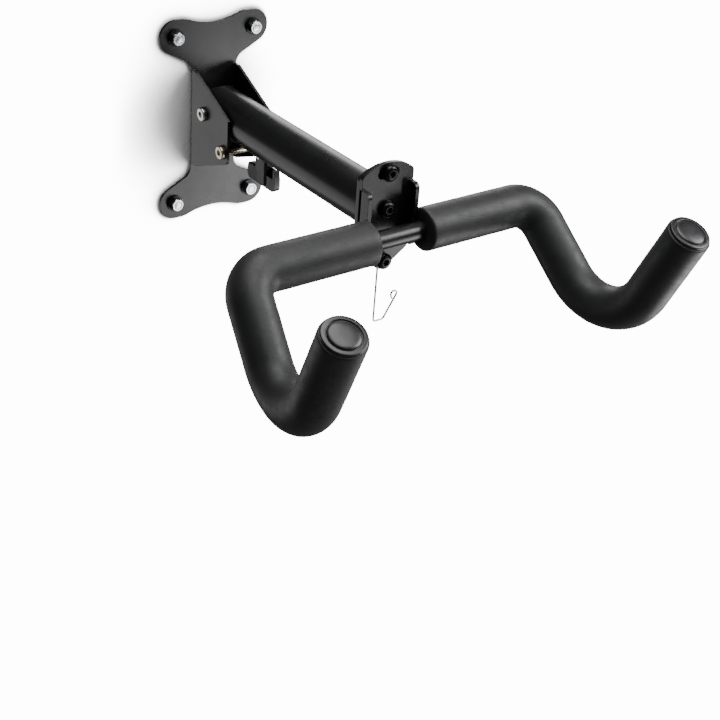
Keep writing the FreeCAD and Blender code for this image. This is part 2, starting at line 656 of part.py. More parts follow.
def build():
    right_foam = foam_sleeve()
    right_cap = end_cap()
    return {
        "wall_plate": wall_plate(),
        "wall_screws": at_wall_holes(wall_screw),
        "wall_washers": at_wall_holes(wall_washer),
        "pivot_bolt": bracket_bolt(PIVOT_Y, ARM_Z),
        "stop_bolt": bracket_bolt(STOP_Y, STOP_Z),
        "bracket_washers": at_bracket_bolts(bracket_washer),
        "bracket_nuts": at_bracket_bolts(bracket_nut),
        "arm_tube": arm_tube(),
        "pivot_bush": pivot_bush(),
        "arm_end_plate": arm_end_plate(),
        "arm_weld": arm_weld(),
        "knob_nut": knob_nut(),
        "tilt_bolt": arm_bolt(TILT_Z, TILT_BOLT_LENGTH),
        "slot_bolt": arm_bolt(TILT_Z + SLOT_R, SLOT_BOLT_LENGTH),
        "head_washers": at_head_bolts(head_washer),
        "tilt_nut": tilt_nut(),
        "wing_knob": wing_knob(),
        "knob_stud": knob_stud(),
        "tilt_plate": tilt_plate(),
        "hook_rod": hook_rod(),
        "rod_welds": rod_welds(),
        "foam_right": right_foam,
        "foam_left": mirrored(right_foam),
        "end_cap_right": right_cap,
        "end_cap_left": mirrored(right_cap),
        "hanger_bolt": hanger_bolt(),
        "hanger_washer": hanger_washer(),
        "hanger_nut": hanger_nut(),
        "wire_hanger": wire_hanger(),
    }


os.makedirs("parts", exist_ok=True)
for name, shape in build().items():
    print("%-16s solids %d volume %.0f valid %s" % (name, len(shape.Solids), shape.Volume, shape.isValid()))
    shape.exportStep("parts/%s.step" % name)
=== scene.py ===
import bpy
import json
import math
from mathutils import Matrix, Vector, noise

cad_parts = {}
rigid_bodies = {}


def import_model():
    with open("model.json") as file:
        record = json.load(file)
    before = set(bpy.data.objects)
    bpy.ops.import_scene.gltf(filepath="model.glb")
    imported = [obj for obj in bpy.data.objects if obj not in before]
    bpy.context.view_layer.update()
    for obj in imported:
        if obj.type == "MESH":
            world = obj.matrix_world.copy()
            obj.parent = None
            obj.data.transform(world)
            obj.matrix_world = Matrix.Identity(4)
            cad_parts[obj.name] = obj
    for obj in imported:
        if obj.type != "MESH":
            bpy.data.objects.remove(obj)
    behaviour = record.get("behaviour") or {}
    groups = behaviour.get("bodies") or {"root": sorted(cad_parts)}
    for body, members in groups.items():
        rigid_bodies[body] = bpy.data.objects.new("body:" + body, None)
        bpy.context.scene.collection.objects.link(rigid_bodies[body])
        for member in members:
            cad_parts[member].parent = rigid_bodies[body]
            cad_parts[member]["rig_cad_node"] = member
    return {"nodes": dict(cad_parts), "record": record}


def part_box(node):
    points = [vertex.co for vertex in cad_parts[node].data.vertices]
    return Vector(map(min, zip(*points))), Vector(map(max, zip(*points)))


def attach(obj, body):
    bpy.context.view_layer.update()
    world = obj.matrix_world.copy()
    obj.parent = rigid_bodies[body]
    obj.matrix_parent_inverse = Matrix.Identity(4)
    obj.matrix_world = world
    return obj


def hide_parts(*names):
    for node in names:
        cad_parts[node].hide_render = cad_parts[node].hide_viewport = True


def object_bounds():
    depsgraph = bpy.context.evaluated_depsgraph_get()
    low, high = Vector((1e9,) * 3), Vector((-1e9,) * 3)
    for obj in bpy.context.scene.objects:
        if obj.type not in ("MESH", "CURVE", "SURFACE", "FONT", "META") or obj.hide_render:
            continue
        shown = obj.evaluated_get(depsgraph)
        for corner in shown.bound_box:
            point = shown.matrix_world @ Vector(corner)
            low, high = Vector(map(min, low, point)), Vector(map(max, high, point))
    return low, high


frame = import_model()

nodes = frame["nodes"]
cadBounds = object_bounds()
mm = 0.001
print("frame loaded:", len(nodes), "nodes")


viewFrom = {"place": (-0.7017, -1.1480, 0.5250), "azimuth": -38.16, "elevation": 30.29, "roll": 4.41,
            "lens": 75.0}


def makeCamera(values):
    azimuth = math.radians(values["azimuth"])
    elevation = math.radians(values["elevation"])
    back = Vector((math.sin(azimuth) * math.cos(elevation), -math.cos(azimuth) * math.cos(elevation),
                   math.sin(elevation)))
    right = Vector((math.cos(azimuth), math.sin(azimuth), 0))
    turn = Matrix.Rotation(math.radians(values["roll"]), 3, back)
    right = turn @ right
    up = back.cross(right)
    bpy.ops.object.camera_add()
    camera = bpy.context.object
    camera.name = "camera"
    facing = Matrix((right, up, back)).transposed().to_4x4()
    camera.matrix_world = Matrix.Translation(values["place"]) @ facing
    camera.data.lens = values["lens"]
    camera.data.clip_start = 0.01
    bpy.context.scene.camera = camera
    return camera


makeCamera(viewFrom)
print("camera placed")


def nothingSelected():
    if bpy.context.object and bpy.context.object.mode != "OBJECT":
        bpy.ops.object.mode_set(mode="OBJECT")
    bpy.ops.object.select_all(action="DESELECT")


def onlySelected(piece):
    nothingSelected()
    piece.select_set(True)
    bpy.context.view_layer.objects.active = piece


def editAll(piece):
    onlySelected(piece)
    bpy.ops.object.mode_set(mode="EDIT")
    bpy.ops.mesh.select_mode(type="FACE")
    bpy.ops.mesh.select_all(action="SELECT")


def namePiece(name):
    piece = bpy.context.object
    piece.name = name
    piece.data.name = name
    return piece


def applyAll(piece, smoothAngle=35):
    # place and turn go into the mesh, and modifiers are applied in order
    onlySelected(piece)
    bpy.ops.object.transform_apply(location=True, rotation=True, scale=True)
    for modifier in list(piece.modifiers):
        bpy.ops.object.modifier_apply(modifier=modifier.name)
    bpy.ops.object.shade_smooth_by_angle(angle=math.radians(smoothAngle))
    return piece


def outward(piece):
    editAll(piece)
    bpy.ops.mesh.remove_doubles(threshold=0.000002)
    bpy.ops.mesh.normals_make_consistent(inside=False)
    bpy.ops.object.mode_set(mode="OBJECT")


def copyOf(piece, name):
    twin = piece.copy()
    twin.data = piece.data.copy()
    twin.name = name
    twin.data.name = name
    bpy.context.collection.objects.link(twin)
    return twin


def aim(piece, place, direction):
    # the piece's own +Z is turned to direction
    turn = Vector((0, 0, 1)).rotation_difference(Vector(direction).normalized())
    piece.matrix_world = Matrix.Translation(place) @ turn.to_matrix().to_4x4()
    onlySelected(piece)
    bpy.ops.object.transform_apply(location=True, rotation=True, scale=True)


def joined(pieces, name):
    nothingSelected()
    for piece in pieces:
        piece.select_set(True)
    bpy.context.view_layer.objects.active = pieces[0]
    bpy.ops.object.join()
    return namePiece(name)


def finishPiece(piece, body, slot, material, *stands):
    piece.data.materials.clear()
    piece.data.materials.append(material)
    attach(piece, body)
    if stands:
        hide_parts(*stands)
    return piece


def turned(name, segments, profile):
    # a disc extruded and resized from ring to ring; profile is (radius, height)
    nothingSelected()
    radius, height = profile[0]
    bpy.ops.mesh.primitive_circle_add(vertices=segments, radius=radius, fill_type="NGON",
                                      location=(0, 0, height))
    piece = namePiece(name)
    bpy.ops.object.transform_apply(location=True)
    editAll(piece)
    for newRadius, newHeight in profile[1:]:
        bpy.ops.mesh.extrude_region_move(TRANSFORM_OT_translate={"value": (0, 0, newHeight - height)})
        if abs(newRadius - radius) > 1e-9:
            ratio = newRadius / radius
            bpy.ops.transform.resize(value=(ratio, ratio, 1), center_override=(0, 0, newHeight))
        radius, height = newRadius, newHeight
    bpy.ops.object.mode_set(mode="OBJECT")
    outward(piece)
    return piece


def threadedRod(name, outer, depth, pitch, z0, z1):
    # one tooth of the thread, screwed upwards, then trimmed square at both ends
    nothingSelected()
    bpy.ops.mesh.primitive_plane_add(size=pitch)
    piece = namePiece(name)
    mesh = piece.data
    mesh.clear_geometry()
    tooth = [(outer - depth, 0), (outer - depth, 0.12), (outer, 0.44), (outer, 0.56), (outer - depth, 0.88),
             (outer - depth, 1)]
    mesh.from_pydata([(x, 0, z * pitch) for x, z in tooth], [(i, i + 1) for i in range(len(tooth) - 1)], [])
    turns = math.ceil((z1 - z0) / pitch) + 3
    screw = piece.modifiers.new("screw", "SCREW")
    screw.screw_offset = pitch
    screw.iterations = turns
    screw.steps = 24
    screw.render_steps = 24
    screw.use_merge_vertices = True
    screw.merge_threshold = pitch * 0.01
    onlySelected(piece)
    bpy.ops.object.modifier_apply(modifier="screw")
    piece.location = (0, 0, z0 - 1.5 * pitch)
    bpy.ops.object.transform_apply(location=True)
    editAll(piece)
    bpy.ops.mesh.remove_doubles(threshold=pitch * 0.01)
    for height, away in ((z0, (0, 0, -1)), (z1, (0, 0, 1))):
        bpy.ops.mesh.select_all(action="SELECT")
        bpy.ops.mesh.bisect(plane_co=(0, 0, height), plane_no=away, clear_outer=True, use_fill=True)
    bpy.ops.object.mode_set(mode="OBJECT")
    outward(piece)
    return piece


def newMaterial(name, base, roughness, metallic=0.0):
    material = bpy.data.materials.new(name)
    material.use_nodes = True
    tree = material.node_tree
    shader = tree.nodes["Principled BSDF"]
    shader.inputs["Base Color"].default_value = (*base, 1)
    shader.inputs["Roughness"].default_value = roughness
    shader.inputs["Metallic"].default_value = metallic
    place = tree.nodes.new("ShaderNodeTexCoord")
    return material, tree, shader, place.outputs["Object"]


def noiseNode(tree, place, scale, detail=2.0, roughness=0.5):
    node = tree.nodes.new("ShaderNodeTexNoise")
    node.inputs["Scale"].default_value = scale
    node.inputs["Detail"].default_value = detail
    node.inputs["Roughness"].default_value = roughness
    tree.links.new(place, node.inputs["Vector"])
    return node.outputs["Fac"]


def rangeNode(tree, value, low, high, newLow, newHigh):
    node = tree.nodes.new("ShaderNodeMapRange")
    node.inputs["From Min"].default_value = low
    node.inputs["From Max"].default_value = high
    node.inputs["To Min"].default_value = newLow
    node.inputs["To Max"].default_value = newHigh
    tree.links.new(value, node.inputs["Value"])
    return node.outputs["Result"]


def bumpNode(tree, height, strength, distance, before=None):
    node = tree.nodes.new("ShaderNodeBump")
    node.inputs["Strength"].default_value = strength
    node.inputs["Distance"].default_value = distance
    tree.links.new(height, node.inputs["Height"])
    if before is not None:
        tree.links.new(before, node.inputs["Normal"])
    return node.outputs["Normal"]


def mixColour(tree, factor, first, second):
    node = tree.nodes.new("ShaderNodeMix")
    node.data_type = "RGBA"
    node.inputs["A"].default_value = (*first, 1)
    node.inputs["B"].default_value = (*second, 1)
    tree.links.new(factor, node.inputs["Factor"])
    return node.outputs["Result"]


def edgeMask(tree, radius):
    # 1 on sharp edges, where the rounded normal leaves the true one
    bevel = tree.nodes.new("ShaderNodeBevel")
    bevel.samples = 4
    bevel.inputs["Radius"].default_value = radius
    geometry = tree.nodes.new("ShaderNodeNewGeometry")
    dot = tree.nodes.new("ShaderNodeVectorMath")
    dot.operation = "DOT_PRODUCT"
    tree.links.new(bevel.outputs["Normal"], dot.inputs[0])
    tree.links.new(geometry.outputs["Normal"], dot.inputs[1])
    return rangeNode(tree, dot.outputs["Value"], 0.99, 0.85, 0.0, 1.0), bevel.outputs["Normal"]


powderCoat = {"colour": (0.0055, 0.0055, 0.006), "rubbed": (0.018, 0.018, 0.019), "smooth": 0.26,
              "rough": 0.33, "wornEdge": 0.6 * mm, "cloudSize": 55, "smearSize": 28,
              "peelSize": 520, "peelDepth": 0.05 * mm, "grainSize": 2600, "grainDepth": 0.02 * mm,
              "bumpStrength": 0.035}


def makePowderCoat(values):
    material, tree, shader, place = newMaterial("blackPowderCoat", values["colour"], 0.3)
    mask, rounded = edgeMask(tree, values["wornEdge"])
    cloud = noiseNode(tree, place, values["cloudSize"], 3)
    wear = tree.nodes.new("ShaderNodeMath")
    wear.operation = "MULTIPLY"
    tree.links.new(mask, wear.inputs[0])
    tree.links.new(rangeNode(tree, cloud, 0.35, 0.7, 0.2, 1.0), wear.inputs[1])
    tree.links.new(mixColour(tree, wear.outputs["Value"], values["colour"], values["rubbed"]),
                   shader.inputs["Base Color"])
    smear = noiseNode(tree, place, values["smearSize"], 4, 0.6)
    tree.links.new(rangeNode(tree, smear, 0.3, 0.7, values["smooth"], values["rough"]),
                   shader.inputs["Roughness"])
    strength = values["bumpStrength"]
    peelNoise = noiseNode(tree, place, values["peelSize"], 1)
    peel = bumpNode(tree, peelNoise, strength, values["peelDepth"], rounded)
    grainNoise = noiseNode(tree, place, values["grainSize"], 2)
    grain = bumpNode(tree, grainNoise, strength, values["grainDepth"], peel)
    tree.links.new(grain, shader.inputs["Normal"])
    return material


foamSkin = {"colour": (0.0125, 0.0127, 0.0135), "pale": (0.017, 0.0173, 0.018), "cellSize": 900,
            "cellStrength": 0.14, "cellDepth": 0.08 * mm, "swellSize": 45, "swellStrength": 0.03,
            "swellDepth": 0.5 * mm, "cloudSize": 24, "unevenSize": 130, "rough": 0.5, "smooth": 0.44,
            "dull": 0.56, "sheen": 0.06, "sheenRough": 0.45, "specular": 0.35}


def makeFoamSkin(values):
    material, tree, shader, place = newMaterial("foamSkin", values["colour"], values["rough"])
    shader.inputs["Sheen Weight"].default_value = values["sheen"]
    shader.inputs["Sheen Roughness"].default_value = values["sheenRough"]
    shader.inputs["Specular IOR Level"].default_value = values["specular"]
    cloud = noiseNode(tree, place, values["cloudSize"], 4, 0.55)
    tree.links.new(mixColour(tree, rangeNode(tree, cloud, 0.3, 0.7, 0, 1), values["colour"], values["pale"]),
                   shader.inputs["Base Color"])
    cells = tree.nodes.new("ShaderNodeTexVoronoi")
    cells.feature = "SMOOTH_F1"
    cells.inputs["Scale"].default_value = values["cellSize"]
    tree.links.new(place, cells.inputs["Vector"])
    uneven = noiseNode(tree, place, values["unevenSize"], 3)
    tree.links.new(rangeNode(tree, uneven, 0.3, 0.7, values["smooth"], values["dull"]),
                   shader.inputs["Roughness"])
    swell = bumpNode(tree, noiseNode(tree, place, values["swellSize"], 2), values["swellStrength"],
                     values["swellDepth"])
    skin = bumpNode(tree, cells.outputs["Distance"], values["cellStrength"], values["cellDepth"], swell)
    tree.links.new(skin, shader.inputs["Normal"])
    return material


# edge is a painted highlight colour laid along every sharp edge
mouldedPlastic = {"colour": (0.009, 0.009, 0.010), "edge": (0.024, 0.024, 0.025), "edgeWidth": 0.5 * mm,
                  "rough": 0.34, "smooth": 0.28, "dull": 0.42, "smearSize": 70, "grainSize": 1500,
                  "grainStrength": 0.16, "grainDepth": 0.03 * mm}


def makeMouldedPlastic(values):
    material, tree, shader, place = newMaterial("mouldedPlastic", values["colour"], values["rough"])
    mask, rounded = edgeMask(tree, values["edgeWidth"])
    # painted highlight: the sharp edges are mixed towards the lighter edge colour
    tree.links.new(mixColour(tree, mask, values["colour"], values["edge"]), shader.inputs["Base Color"])
    smear = noiseNode(tree, place, values["smearSize"], 3)
    tree.links.new(rangeNode(tree, smear, 0.3, 0.7, values["smooth"], values["dull"]),
                   shader.inputs["Roughness"])
    grain = bumpNode(tree, noiseNode(tree, place, values["grainSize"], 2), values["grainStrength"],
                     values["grainDepth"], rounded)
    tree.links.new(grain, shader.inputs["Normal"])
    return material


def makeMetal(name, colour, dark, smooth, rough, metallic=1.0, edge=0.35 * mm):
    # plated or oiled steel: cloudy tone, fine tool marks, rounded edges
    material, tree, shader, place = newMaterial(name, colour, rough, metallic)
    cloud = noiseNode(tree, place, 160, 4, 0.6)
    tree.links.new(mixColour(tree, rangeNode(tree, cloud, 0.35, 0.75, 0, 1), colour, dark),
                   shader.inputs["Base Color"])
    tree.links.new(rangeNode(tree, noiseNode(tree, place, 420, 3), 0.3, 0.7, smooth, rough),
                   shader.inputs["Roughness"])
    rounded = edgeMask(tree, edge)[1]
    marks = bumpNode(tree, noiseNode(tree, place, 1800, 2), 0.10, 0.02 * mm, rounded)
    tree.links.new(marks, shader.inputs["Normal"])
    return material


finishes = {
    "black_paint": makePowderCoat(powderCoat),
    "foam": makeFoamSkin(foamSkin),
    "black_plastic": makeMouldedPlastic(mouldedPlastic),
    "zinc": makeMetal("brightZinc", (0.74, 0.75, 0.77), (0.58, 0.60, 0.63), 0.16, 0.30),
    "chrome": makeMetal("brightNickel", (0.72, 0.71, 0.69), (0.56, 0.54, 0.51), 0.12, 0.24),
    "black_steel": makeMetal("blackOxide", (0.030, 0.030, 0.032), (0.018, 0.018, 0.019), 0.22, 0.34),
    "spring_wire": makeMetal("springWire", (0.66, 0.66, 0.68), (0.52, 0.52, 0.54), 0.16, 0.28, edge=0.1 * mm),
}
yellowedNickel = makeMetal("yellowedNickel", (0.72, 0.63, 0.50), (0.50, 0.42, 0.33), 0.14, 0.28)

for part in frame["record"]["subparts"]:
    node = nodes[part["node"]]
    node.data.materials.clear()
    node.data.materials.append(finishes[part["material_slot"]])
print("finishes made:", len(finishes) + 1)


# the corners of the run are in millimetres, as drawn on the right-hand side
foamSleeve = {"radius": 18.75 * mm, "bore": 8.0 * mm, "elbow": (147.1, -289.7, -3.3),
              "trough": (162.7, -391.7, -101.7), "tip": (168.3, -449.6, 28.4), "elbowBend": 26.0,
              "troughBend": 50.0, "segments": 72, "step": 5 * mm, "elbowSteps": 14, "troughSteps": 26,
              "endRound": 2.2 * mm, "tipRound": 1.3 * mm, "endRing": 4 * mm, "unevenness": 0.16 * mm,
              "settle": 0.06 * mm, "fill": 0.9}


def bendOf(before, corner, after, radius):
    # where a tangent bend begins, what it turns about and how far
    back = (before - corner).normalized()
    ahead = (after - corner).normalized()
    half = back.angle(ahead) / 2
    reach = radius / math.tan(half)
    centre = corner + (back + ahead).normalized() * (radius / math.sin(half))
    axis = (-back).cross(ahead).normalized()
    return corner + back * reach, centre, axis, math.pi - 2 * half, corner + ahead * reach


def extrudeRun(start, finish, step):
    run = finish - start
    count = max(1, round(run.length / step))
    for _ in range(count):
        bpy.ops.mesh.extrude_region_move(TRANSFORM_OT_translate={"value": run / count})


def makeFoamSleeve(values, side):
    x0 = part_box("foam_right")[0].x
    elbow, trough, tip = (Vector(values[key]) * mm for key in ("elbow", "trough", "tip"))
    start = Vector((x0, elbow.y, elbow.z))
    radius = values["radius"]
    soft = values["endRound"]
    nothingSelected()
    bpy.ops.mesh.primitive_circle_add(vertices=values["segments"], radius=values["bore"], fill_type="NOTHING",
                                      location=start, rotation=(0, math.radians(90), 0))
    piece = namePiece("foamSleeve")
    bpy.ops.object.transform_apply(location=True, rotation=True, scale=True)
    onlySelected(piece)
    bpy.ops.object.mode_set(mode="EDIT")
    bpy.ops.mesh.select_mode(type="EDGE")
    bpy.ops.mesh.select_all(action="SELECT")
    ringRadius = values["bore"]

    def grow(newRadius, centre, shift):
        nonlocal ringRadius
        bpy.ops.mesh.extrude_region_move(TRANSFORM_OT_translate={"value": shift})
        ratio = newRadius / ringRadius
        bpy.ops.transform.resize(value=(ratio, ratio, ratio), center_override=centre + shift)
        ringRadius = newRadius
        return centre + shift

    # flat end beside the head plate, with a soft outer edge
    forward = Vector((1, 0, 0))
    centre = grow(radius - soft - values["endRing"], start, Vector((0, 0, 0)))
    centre = grow(radius - soft, centre, Vector((0, 0, 0)))
    for i in range(1, 6):
        angle = math.radians(18 * i)
        centre = grow(radius - soft + soft * math.sin(angle), centre,
                      forward * (soft * (math.cos(angle - math.radians(18)) - math.cos(angle))))
    begin, middle, axis, turn, leave = bendOf(start, elbow, trough, values["elbowBend"] * mm)
    extrudeRun(centre, begin, values["step"])
    bpy.ops.mesh.spin(steps=values["elbowSteps"], angle=-turn, center=middle, axis=axis)
    secondBegin, secondMiddle, secondAxis, secondTurn, secondLeave = bendOf(elbow, trough, tip,
                                                                          values["troughBend"] * mm)
    extrudeRun(leave, secondBegin, values["step"])
    bpy.ops.mesh.spin(steps=values["troughSteps"], angle=-secondTurn, center=secondMiddle, axis=secondAxis)
    out = (tip - trough).normalized()
    edge = values["tipRound"]
    centre = tip - out * edge
    extrudeRun(secondLeave, centre, values["step"])
    for i in range(1, 5):
        angle = math.radians(22.5 * i)
        before = math.radians(22.5 * (i - 1))
        rise = math.sin(angle) - math.sin(before)
        centre = grow(radius - edge + edge * math.cos(angle), centre, out * edge * rise)
    centre = grow(radius - edge - values["endRing"], centre, Vector((0, 0, 0)))
    centre = grow(values["bore"], centre, Vector((0, 0, 0)))
    bpy.ops.object.mode_set(mode="OBJECT")
    outward(piece)
    for vertex in piece.data.vertices:
        swell = noise.noise(vertex.co * 60 + Vector((side * 7.0, 0, 0)))
        fine = noise.noise(vertex.co * 190)
        inner = vertex.co.x < x0 + 0.1 * mm or (vertex.co - tip).dot(out) > -0.1 * mm
        if not inner:
            lift = values["unevenness"] * (0.8 * swell + 0.2 * fine) - values["settle"]
            vertex.co += vertex.normal * lift
    if side < 0:
        for vertex in piece.data.vertices:
            vertex.co.x = -vertex.co.x
        outward(piece)
    applyAll(piece, 40)
    node = "foam_right" if side > 0 else "foam_left"
    piece.name = piece.data.name = "foamSleeveRight" if side > 0 else "foamSleeveLeft"
    finishPiece(piece, "head", "foam", finishes["foam"], node)
    return piece


for side in (1, -1):
    makeFoamSleeve(foamSleeve, side)
print("foam sleeves made")


endCap = {"rimRadius": 17.3, "rim": 2.6, "groove": 12.5, "lip": 13.5, "sink": 0.85, "dome": 1.55,
          "domeSteps": 8, "stem": 6.45, "stemEnd": -15, "segments": 96}


def makeEndCap(values, side):
    rim = values["rimRadius"]
    top = values["rim"]
    groove = values["groove"]
    floor = top - values["sink"]
    stem = values["stem"]
    stemEnd = values["stemEnd"]
    profile = [(stem - 0.6, stemEnd), (stem, stemEnd + 1), (stem, 0.1), (rim - 0.5, 0.1), (rim, 0.6),
               (rim, top - 1.1), (rim - 0.12, top - 0.62), (rim - 0.42, top - 0.24), (rim - 0.9, top),
               (values["lip"] + 0.35, top), (values["lip"], top - 0.25), (values["lip"] - 0.15, top - 1.1),
               (groove + 0.25, top - 1.1), (groove, floor)]
    height = values["dome"] + values["sink"]
    for i in range(1, values["domeSteps"] + 1):
        share = i / values["domeSteps"]
        profile.append((groove * math.cos(share * math.radians(82)) + 0.6 * share,
                        floor + height * math.sin(share * math.radians(90)) ** 0.8))
    piece = turned("endCap", values["segments"], [(r * mm, z * mm) for r, z in profile])
    tip = Vector(foamSleeve["tip"]) * mm
    out = (Vector(foamSleeve["tip"]) - Vector(foamSleeve["trough"])).normalized()
    if side < 0:
        tip.x = -tip.x
        out.x = -out.x
    aim(piece, tip, out)
    applyAll(piece, 32)
    piece.name = piece.data.name = "endCapRight" if side > 0 else "endCapLeft"
    node = "end_cap_right" if side > 0 else "end_cap_left"
    return finishPiece(piece, "head", "black_plastic", finishes["black_plastic"], node)


for side in (1, -1):
    makeEndCap(endCap, side)
print("end caps made")


wallScrew = {"flats": 11.1, "head": 5.3, "seat": -4.1, "neck": 3.0, "thread": 3.15, "toothDepth": 0.75,
             "pitch": 2.5, "length": 50.0, "tip": 8.0, "disc": 3.4, "washerRadius": 7.9,
             "turns": (12, 47, 25, 3)}       # each screw stopped at its own angle, degrees


def makeWallScrew(values):
    corner = values["flats"] / math.sqrt(3)
    head = values["head"]
    body = turned("wallScrewHead", 6, [(corner * mm, 0), (corner * mm, (head - 0.95) * mm)])
    inner = values["flats"] / 2
    crown = turned("wallScrewCrown", 48, [(corner * mm, (head - 1.6) * mm), (inner * mm, head * mm),
                                          ((values["disc"] + 0.9) * mm, head * mm),
                                          ((values["disc"] + 0.5) * mm, (head - 0.8) * mm),
                                          (values["disc"] * mm, (head - 0.8) * mm),
                                          ((values["disc"] - 0.3) * mm, (head - 0.1) * mm),
                                          ((values["disc"] - 1.2) * mm, (head - 0.02) * mm)])
    # the chamfered crown is kept only where it lies inside the hexagon
    tall = turned("wallScrewHex", 6, [(corner * mm, (head - 1.3) * mm), (corner * mm, (head + 1) * mm)])
    cut = crown.modifiers.new("hexagon", "BOOLEAN")
    cut.operation = "INTERSECT"
    cut.object = tall
    onlySelected(crown)
    bpy.ops.object.modifier_apply(modifier="hexagon")
    bpy.data.objects.remove(tall)
    neck = turned("wallScrewNeck", 32, [(values["neck"] * mm, 0.2 * mm), (values["neck"] * mm, -5.0 * mm)])
    length = values["length"]
    thread = threadedRod("wallScrewThread", values["thread"] * mm, values["toothDepth"] * mm,
                         values["pitch"] * mm, -length * mm, -4.6 * mm)
    start = -(length - values["tip"]) * mm
    for vertex in thread.data.vertices:
        if vertex.co.z < start:
            share = (start - vertex.co.z) / (values["tip"] * mm)
            vertex.co.x *= 1 - 0.93 * share
            vertex.co.y *= 1 - 0.93 * share
    return joined([body, crown, neck, thread], "wallScrew")


screwCentres = []
low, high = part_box("wall_washers")
washerRadius = wallScrew["washerRadius"] * mm
for x in (low.x + washerRadius, high.x - washerRadius):
    for z in (low.z + washerRadius, high.z - washerRadius):
        screwCentres.append(Vector((x, wallScrew["seat"] * mm, z)))
firstScrew = makeWallScrew(wallScrew)
for i in range(4):
    screw = copyOf(firstScrew, "wallScrew%d" % (i + 1))
    screw.rotation_euler = (0, 0, math.radians(wallScrew["turns"][i]))
    onlySelected(screw)
    bpy.ops.object.transform_apply(rotation=True)
    aim(screw, screwCentres[i], (0, -1, 0))
    applyAll(screw, 30)
    finishPiece(screw, "bracket", "zinc", finishes["zinc"], "wall_screws")
bpy.data.objects.remove(firstScrew)
print("wall screws made")


bolt = {"radius": 4.0, "socket": 5.0, "socketDepth": 2.5, "pitch": 1.25, "toothDepth": 0.68, "segments": 64}
# head outlines: radius and height above the seat, mm
lowHead = [(4.0, 0), (6.1, 0), (6.5, 0.4), (6.5, 2.7), (6.42, 3.2), (6.15, 3.6), (5.7, 3.88), (5.1, 4.0)]
buttonHead = [(4.0, 0), (6.7, 0), (7.0, 0.3), (7.0, 1.2), (6.85, 1.85), (6.4, 2.6), (5.7, 3.25), (4.8, 3.65),
              (3.9, 3.78), (3.4, 3.8)]


def makeBolt(name, values, profile, shank, threaded):
    # head upwards from z = 0, shank downwards
    head = turned(name, values["segments"], [(r * mm, z * mm) for r, z in profile])
    top = profile[-1][1]
    flats = values["socket"] / math.sqrt(3)
    low = top - values["socketDepth"]
    socket = turned("socket", 6, [(flats * 0.5 * mm, (low - 0.7) * mm), (flats * mm, low * mm),
                                  (flats * mm, (top - 0.25) * mm), ((flats + 0.5) * mm, (top + 0.25) * mm)])
    cut = head.modifiers.new("socket", "BOOLEAN")
    cut.operation = "DIFFERENCE"
    cut.object = socket
    onlySelected(head)
    bpy.ops.object.modifier_apply(modifier="socket")
    bpy.data.objects.remove(socket)
    radius = values["radius"]
    plainEnd = -(shank - threaded)
    plain = turned("shank", 40, [((radius - 0.02) * mm, 0.3 * mm), ((radius - 0.02) * mm, plainEnd * mm),
                                 ((radius - 0.7) * mm, (plainEnd - 0.7) * mm)])
    thread = threadedRod("thread", (radius - 0.02) * mm, values["toothDepth"] * mm, values["pitch"] * mm,
                         -shank * mm, (plainEnd + 0.2) * mm)
    chamfer = 1.0 * mm
    for vertex in thread.data.vertices:
        past = (-shank * mm + chamfer) - vertex.co.z
        if past > 0:
            limit = radius * mm - past
            reach = math.hypot(vertex.co.x, vertex.co.y)
            if reach > limit:
                vertex.co.x *= limit / reach
                vertex.co.y *= limit / reach
    return joined([head, plain, thread], name)


def placeBolt(node, name, body, slot, material, profile, direction, threaded, spin):
    # the CAD bolt's box says where the seat is and how long the shank is
    low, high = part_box(node)
    size = high - low
    direction = Vector(direction)
    axis = [abs(v) for v in direction].index(1)
    head = profile[-1][1] * mm
    centre = (low + high) / 2
    centre[axis] = (high[axis] - head) if direction[axis] > 0 else (low[axis] + head)
    piece = makeBolt(name, bolt, profile, (size[axis] - head) / mm, threaded)
    piece.rotation_euler = (0, 0, math.radians(spin))
    onlySelected(piece)
    bpy.ops.object.transform_apply(rotation=True)
    aim(piece, centre, direction)
    applyAll(piece, 32)
    return finishPiece(piece, body, slot, material, node)


leftward = (-1, 0, 0)
forward = (0, -1, 0)
nickel = finishes["chrome"]
oxide = finishes["black_steel"]
placeBolt("pivot_bolt", "pivotBolt", "bracket", "chrome", nickel, lowHead, leftward, 16, 14)
placeBolt("stop_bolt", "stopBolt", "bracket", "chrome", yellowedNickel, lowHead, leftward, 16, 41)
placeBolt("tilt_bolt", "tiltBolt", "arm", "black_steel", oxide, buttonHead, forward, 16, 20)
placeBolt("slot_bolt", "slotBolt", "arm", "black_steel", oxide, buttonHead, forward, 8, 8)
placeBolt("hanger_bolt", "hangerBolt", "head", "black_steel", oxide, buttonHead, forward, 12, 33)
print("bolts made")


# body and width of the rounding for each node, mm
softEdges = {"wall_plate": ("wallBracket", "bracket", 0.5), "tilt_plate": ("tiltHead", "head", 0.7),
             "arm_end_plate": ("armEndPlate", "arm", 0.7), "wing_knob": ("lockKnob", "knob", 0.7)}


def softened(node, name, width):
    # the CAD piece again, with its sheared edges rounded off
    piece = copyOf(nodes[node], name)
    piece.parent = None
    del piece["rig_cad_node"]
    editAll(piece)
    bpy.ops.mesh.customdata_custom_splitnormals_clear()
    bpy.ops.mesh.remove_doubles(threshold=0.3 * mm)
    bpy.ops.mesh.dissolve_limited(angle_limit=math.radians(0.4))
    bpy.ops.object.mode_set(mode="OBJECT")
    rounding = piece.modifiers.new("rounding", "BEVEL")
    rounding.width = width * mm
    rounding.segments = 3
    rounding.limit_method = "ANGLE"
    rounding.angle_limit = math.radians(32)
    rounding.harden_normals = True
    rounding.use_clamp_overlap = True
    applyAll(piece, 34)
    weighted = piece.modifiers.new("weighted", "WEIGHTED_NORMAL")
    weighted.keep_sharp = True
    weighted.weight = 100
    onlySelected(piece)
    bpy.ops.object.modifier_apply(modifier="weighted")
    return piece


